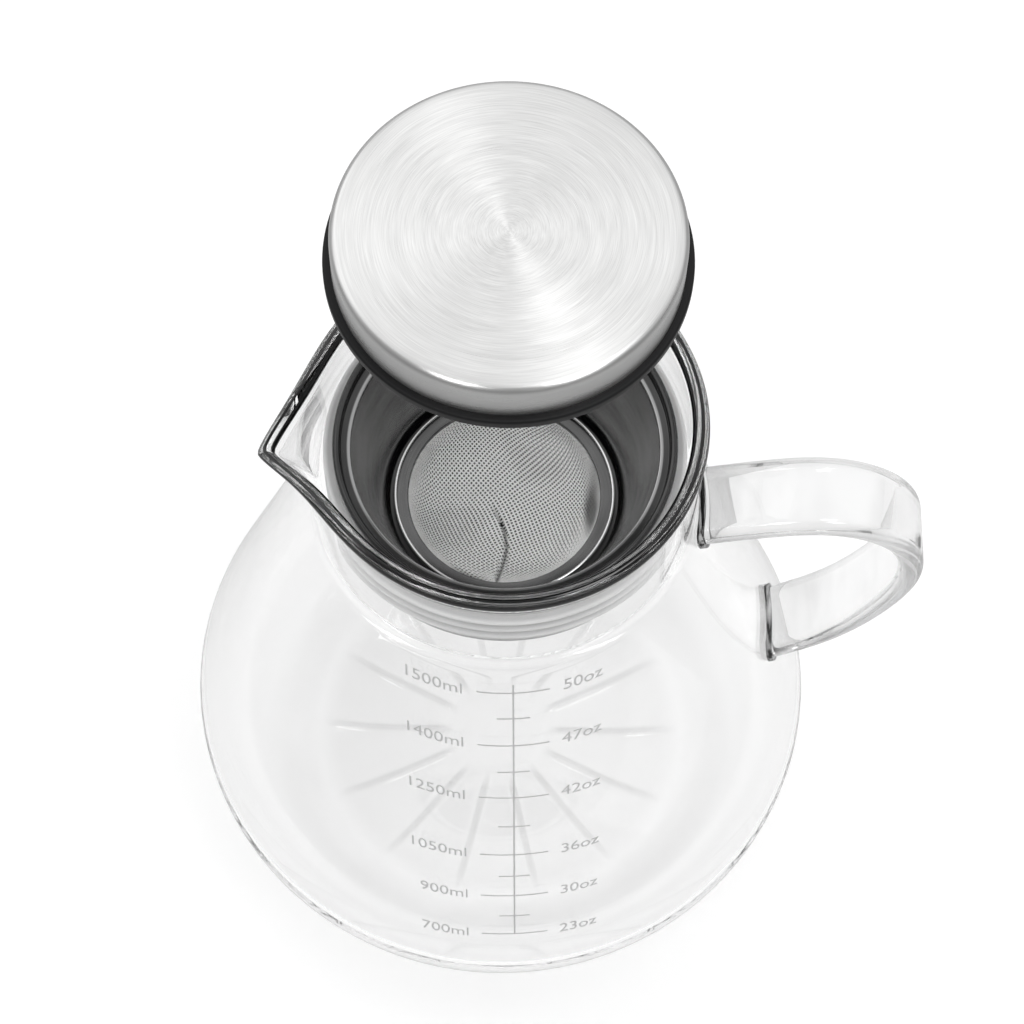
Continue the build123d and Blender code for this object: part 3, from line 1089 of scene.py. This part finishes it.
class CARAFE_OT_mesh(bpy.types.Operator):
    """Weave the wire cloth flat, trim it round and press it into its bag"""

    bl_idname = "carafe.mesh"
    bl_label = "Mesh Bag"

    def execute(self, context):
        sizes = context.scene.carafe_sizes
        lengths, radii, levels = bag_profile()
        piece = flat_cloth(sizes.wire_pitch, sizes.wire_radius, sizes.weave_turn, lengths[-1] + cloth_overlap)

        def pressed(co):
            flat = hypot(co.x, co.y)
            if flat < tiny:
                return Vector((0, 0, cloth_level - bag_depth + co.z))
            across = np.interp(flat, lengths, radii) + max(flat - lengths[-1], 0)
            x, y = co.x / flat * across, co.y / flat * across
            # on the bag's steep side the wires' height in the weave turns from upwards to inwards
            steep = min(across / ring_inner, 1) ** 3
            lean = co.z * steep
            drop = np.interp(flat, lengths, levels) * pressed_depth
            return Vector((x - x / across * lean, y - y / across * lean,
                           cloth_level + drop + co.z * (1 - 0.5 * steep) + crease(x, y)))

        move_vertices(piece, pressed)
        # each vertex marked by how far the cloth is pinched down there, for the painted shade in its creases
        fold = piece.data.attributes.new("fold", "FLOAT", "POINT")
        for vertex, mark in zip(piece.data.vertices, fold.data):
            mark.value = held(-0.25 - crease(vertex.co.x, vertex.co.y) / MM)
        material = wire_steel("wire steel", context.scene.carafe_colours.steel)

        # the finer layer under the cloth, which does the filtering, painted near black as painted shade
        level_under = cloth_level - filter_gap * sizes.wire_radius
        places = list(zip(radii, levels))[::8]
        under = [(radius, level_under + level * pressed_depth) for radius, level in places]
        layer = turned("mesh_filter_layer", under, filter_steps, closed=False)
        move_vertices(layer, lambda co: co + Vector((0, 0, crease(co.x, co.y))))
        apply_modifier(layer, "SOLIDIFY", thickness=filter_thickness, offset=0)
        finished(layer, "strainer", shaded_filter_cloth("filter cloth"), angle=60)
        finished(piece, "strainer", material, ["mesh_cup"], angle=80)
        return {"FINISHED"}


# ================================================================ the lid
class CARAFE_OT_lid(bpy.types.Operator):
    """Spin the lid's steel cap, silicone gasket and steel base, and finish its core"""

    bl_idname = "carafe.lid"
    bl_label = "Lid"

    def execute(self, context):
        colours = context.scene.carafe_colours

        def shaded_side_and_shoulder(radius, z):
            """The cap's side, and more faintly the outer part of its top, which are painted darker: painted
            shade.
            """
            return z.fall(cap_top - 0.1 * MM, 0.8 * MM) + radius.rise(cap_radius - 3 * MM, 3 * MM) * 0.4

        # painted shade on the cap's side and the outer part of its top
        painted_band = (shaded_side_and_shoulder, scaled(colours.steel, 0.62), 0.3)
        steel = turned_steel(
            "lid steel", colours.steel, roughness=0.33, anisotropy=0.74, stroke=0.11 * MM, streaks=2.2,
            tone_and_reflection_clouds=0.4, painted_band=painted_band,
        )
        crown = cap_radius - cap_shoulder
        turn_middle = (crown, cap_top - cap_shoulder)
        foot = cap_bottom + weld_gap
        outline = joined(
            line((0, cap_top), (crown, cap_top), 20),
            arc(turn_middle, cap_shoulder, 90, 0, 14),
            line((cap_radius, turn_middle[1]), (cap_radius, foot), 5),
            [(cap_radius - sheet, foot)],
            arc(turn_middle, cap_shoulder - sheet, 0, 90, 6),
            [(0, cap_top - sheet)],
        )
        cap = turned("lid_steel", outline, cap_steps)
        finished(cap, "lid", steel, ["lid_cap"], angle=50)

        rim = gasket_radius - gasket_edge
        outline = joined(
            line((gasket_bore, cap_bottom), (rim, cap_bottom), 4),
            arc((rim, cap_bottom - gasket_edge), gasket_edge, 90, 0, 6),
            arc((rim, gasket_bottom + gasket_edge), gasket_edge, 0, -90, 6),
            line((skirt_radius, gasket_bottom), (skirt_foot_radius, skirt_bottom), 3),
            [(gasket_bore, skirt_bottom)],
        )
        gasket = turned("gasket_silicone", outline, spun_steps)
        rubber = silicone("black silicone", colours.gasket, 0.42)
        finished(gasket, "lid", rubber, ["lid_gasket"], angle=50)

        top = skirt_bottom - weld_gap
        half = sheet / 2
        outline = joined(
            line((0, base_bottom), (base_radius - half, base_bottom), 8),
            arc((base_radius - half, base_bottom + half), half, -90, 0, 5),
            [(base_radius, top), (0, top)],
        )
        base = turned("lid_base_steel", outline, spun_steps)
        finished(base, "lid", steel, ["lid_base"], angle=50)

        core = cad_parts["lid_core"]
        core.data.materials.clear()
        core.data.materials.append(moulded_plastic("core plastic", colours.core))
        return {"FINISHED"}


# ================================================================ the printed scale
def wrapped(along, height, lift):
    """A place on the jug's cone, from its distance along the print, its height and its lift."""
    radius = outer_radius(height)
    azimuth = radians(scale_azimuth) + along / radius
    r = radius + lift
    return Vector((r * cos(azimuth), r * sin(azimuth), height))


def flat_bar(middle, width, height):
    """A flat printed bar, in small squares so that it can bend."""
    pick()
    bpy.ops.mesh.primitive_plane_add(size=1, location=(*middle, 0))
    piece = bpy.context.object
    bpy.ops.object.mode_set(mode="EDIT")
    bpy.ops.transform.resize(value=(width, height, 1))
    bpy.ops.mesh.subdivide(number_cuts=max(int(max(width, height) / MM), 1))
    bpy.ops.object.mode_set(mode="OBJECT")
    placed(piece)
    return piece


def lettering(text, size, corner, align):
    """Printed words, drawn flat and made a mesh."""
    pick()
    bpy.ops.object.text_add(location=(*corner, 0))
    piece = bpy.context.object
    piece.data.body = text
    piece.data.size = size
    piece.data.align_x = align
    piece.data.align_y = "CENTER"
    piece.data.resolution_u = 4
    bpy.ops.object.convert(target="MESH")
    placed(piece)
    return piece


class CARAFE_OT_scale(bpy.types.Operator):
    """Print the volume scale on the front of the jug"""

    bl_idname = "carafe.scale"
    bl_label = "Volume Scale"

    def execute(self, context):
        sizes = context.scene.carafe_sizes
        stem_foot = mark_heights[-1]
        marks = [flat_bar((0, (stem_foot + stem_top) / 2), mark_width, stem_top - stem_foot)]
        for heights, width in ((mark_heights, long_mark), (between_heights, short_mark)):
            marks += [flat_bar((0, height), width, mark_width) for height in heights]
        for height, volume, weight in zip(mark_heights, millilitres, ounces):
            marks.append(lettering(f"{volume}ml", sizes.label_size, (-label_gap, height), "RIGHT"))
            marks.append(lettering(f"{weight}oz", sizes.label_size, (label_gap, height), "LEFT"))
        pick(*marks)
        bpy.ops.object.join()
        piece = context.object
        piece.name = "scale_print"
        apply_modifier(piece, "SOLIDIFY", thickness=sizes.print_height, offset=0)
        lowest = min(v.co.z for v in piece.data.vertices)
        move_vertices(piece, lambda co: wrapped(co.x, co.y, co.z - lowest + weld_gap / 2))
        clean(piece)
        material = fired_enamel("scale enamel", context.scene.carafe_colours.enamel)
        finished(piece, "jug", material, angle=30)
        return {"FINISHED"}


# ================================================================ the stage
def floor_finish():
    """A plain white floor that keeps the object's shadow."""
    finish = Finish("floor")
    x, y, z = finish.coordinates("Object")
    mottle = finish.noise(finish.point(x, y, z), 3.0, 1.0)
    colour = finish.tint(mottle, (0.65,) * 3, (0.67,) * 3)
    matt = finish.node("ShaderNodeBsdfDiffuse", None, {"Color": colour}).outputs[0]
    share = sum(finish.rays(kind) * share for kind, share in glow_shares.items()).limited()
    shown = finish.mixed(share, finish.glowing(0.0), finish.glowing(floor_glow))
    both = finish.node("ShaderNodeAddShader", None, [matt, shown]).outputs[0]
    far = (from_axis(x, y) - floor_end).limited() * finish.rays("Camera")
    return finish.show(finish.mixed(far, both, finish.glowing(1.0)))


def studio_sky():
    """A soft sky, dimmer low down and behind the camera, and plain white to the camera itself."""
    sky = NodeTree(bpy.data.worlds.new("studio"), "ShaderNodeOutputWorld")
    x, y, z = sky.coordinates("Generated")

    def ramp(value, start, end, low, high):
        limits = {"From Min": start, "From Max": end, "To Min": low, "To Max": high}
        return sky.node("ShaderNodeMapRange", None, {"Value": value, **limits}).outputs[0]

    height = ramp(z, 0.22, 0.42, 0.0, 1.0)
    back = ramp(y, -0.30, 0.30, 0.30, 1.0)
    light = sky.node("ShaderNodeMix", None, {"Factor": height, "A": 0.42, "B": back}).outputs[0]
    lit = sky.node("ShaderNodeBackground", None, {"Color": light}).outputs[0]
    plain = sky.node("ShaderNodeBackground", None, {"Color": (1, 1, 1)}).outputs[0]
    return sky.show(sky.mixed(sky.rays("Camera"), lit, plain))


def place_camera(scene):
    """Sets up the scene's camera from its place and its three angles."""
    down, turn, roll = radians(camera_down), radians(camera_turn), radians(camera_roll)
    forward = Vector((sin(turn) * cos(down), cos(turn) * cos(down), -sin(down)))
    right = Vector((cos(turn), -sin(turn), 0))
    up = right.cross(forward)
    across = right * cos(roll) + up * sin(roll)
    above = up * cos(roll) - right * sin(roll)
    camera = bpy.data.objects.new("camera", bpy.data.cameras.new("camera"))
    scene.collection.objects.link(camera)
    camera.data.lens = camera_lens
    camera.data.sensor_width = 36
    camera.data.clip_start = 0.01
    turned_to = Matrix((across, above, -forward)).transposed().to_4x4()
    camera.matrix_world = Matrix.Translation(camera_place) @ turned_to
    scene.camera = camera


class CARAFE_OT_stage(bpy.types.Operator):
    """Set out the white floor, the soft light and the camera"""

    bl_idname = "carafe.stage"
    bl_label = "Stage"

    def execute(self, context):
        scene = context.scene
        pick()
        bpy.ops.mesh.primitive_plane_add(size=floor_size, location=(0, 0, -floor_drop))
        floor = context.object
        floor.name = "floor"
        placed(floor)
        floor.data.materials.append(floor_finish())

        scene.world = studio_sky()
        for name, place, size, watts in lamps:
            lamp = bpy.data.lights.new(name, "AREA")
            lamp.shape = "SQUARE"
            lamp.size = size
            lamp.energy = watts
            holder = bpy.data.objects.new(name, lamp)
            scene.collection.objects.link(holder)
            holder.location = place
            holder.rotation_euler = (lamp_target - Vector(place)).to_track_quat("-Z", "Y").to_euler()
        place_camera(scene)
        scene.view_settings.view_transform = "Standard"
        # light that runs along inside the glass walls turns back many times before it comes out
        scene.cycles.max_bounces = 64
        scene.cycles.transmission_bounces = 64
        scene.cycles.glossy_bounces = 46
        scene.cycles.transparent_max_bounces = 32
        return {"FINISHED"}


# ================================================================ the add-on
OPERATORS = (
    CARAFE_OT_stage,
    CARAFE_OT_body,
    CARAFE_OT_handle,
    CARAFE_OT_strainer,
    CARAFE_OT_seal,
    CARAFE_OT_mesh,
    CARAFE_OT_lid,
    CARAFE_OT_scale,
)


class CARAFE_PT_panel(bpy.types.Panel):
    """Lists the carafe's pieces in the sidebar"""

    bl_idname = "CARAFE_PT_panel"
    bl_label = "Cold Brew Carafe"
    bl_space_type = "VIEW_3D"
    bl_region_type = "UI"
    bl_category = "Carafe"

    def draw(self, context):
        for group in (context.scene.carafe_sizes, context.scene.carafe_colours):
            for name in group.__annotations__:
                self.layout.prop(group, name)
        for operator in OPERATORS:
            self.layout.operator(operator.bl_idname)


CLASSES = (CarafeSizes, CarafeColours, *OPERATORS, CARAFE_PT_panel)


def register():
    for cls in CLASSES:
        bpy.utils.register_class(cls)
    bpy.types.Scene.carafe_sizes = bpy.props.PointerProperty(type=CarafeSizes)
    bpy.types.Scene.carafe_colours = bpy.props.PointerProperty(type=CarafeColours)


def unregister():
    del bpy.types.Scene.carafe_colours
    del bpy.types.Scene.carafe_sizes
    for cls in reversed(CLASSES):
        bpy.utils.unregister_class(cls)


def main():
    register()
    for operator in OPERATORS:
        group, name = operator.bl_idname.split(".")
        getattr(getattr(bpy.ops, group), name)()


if __name__ == "__main__":
    main()
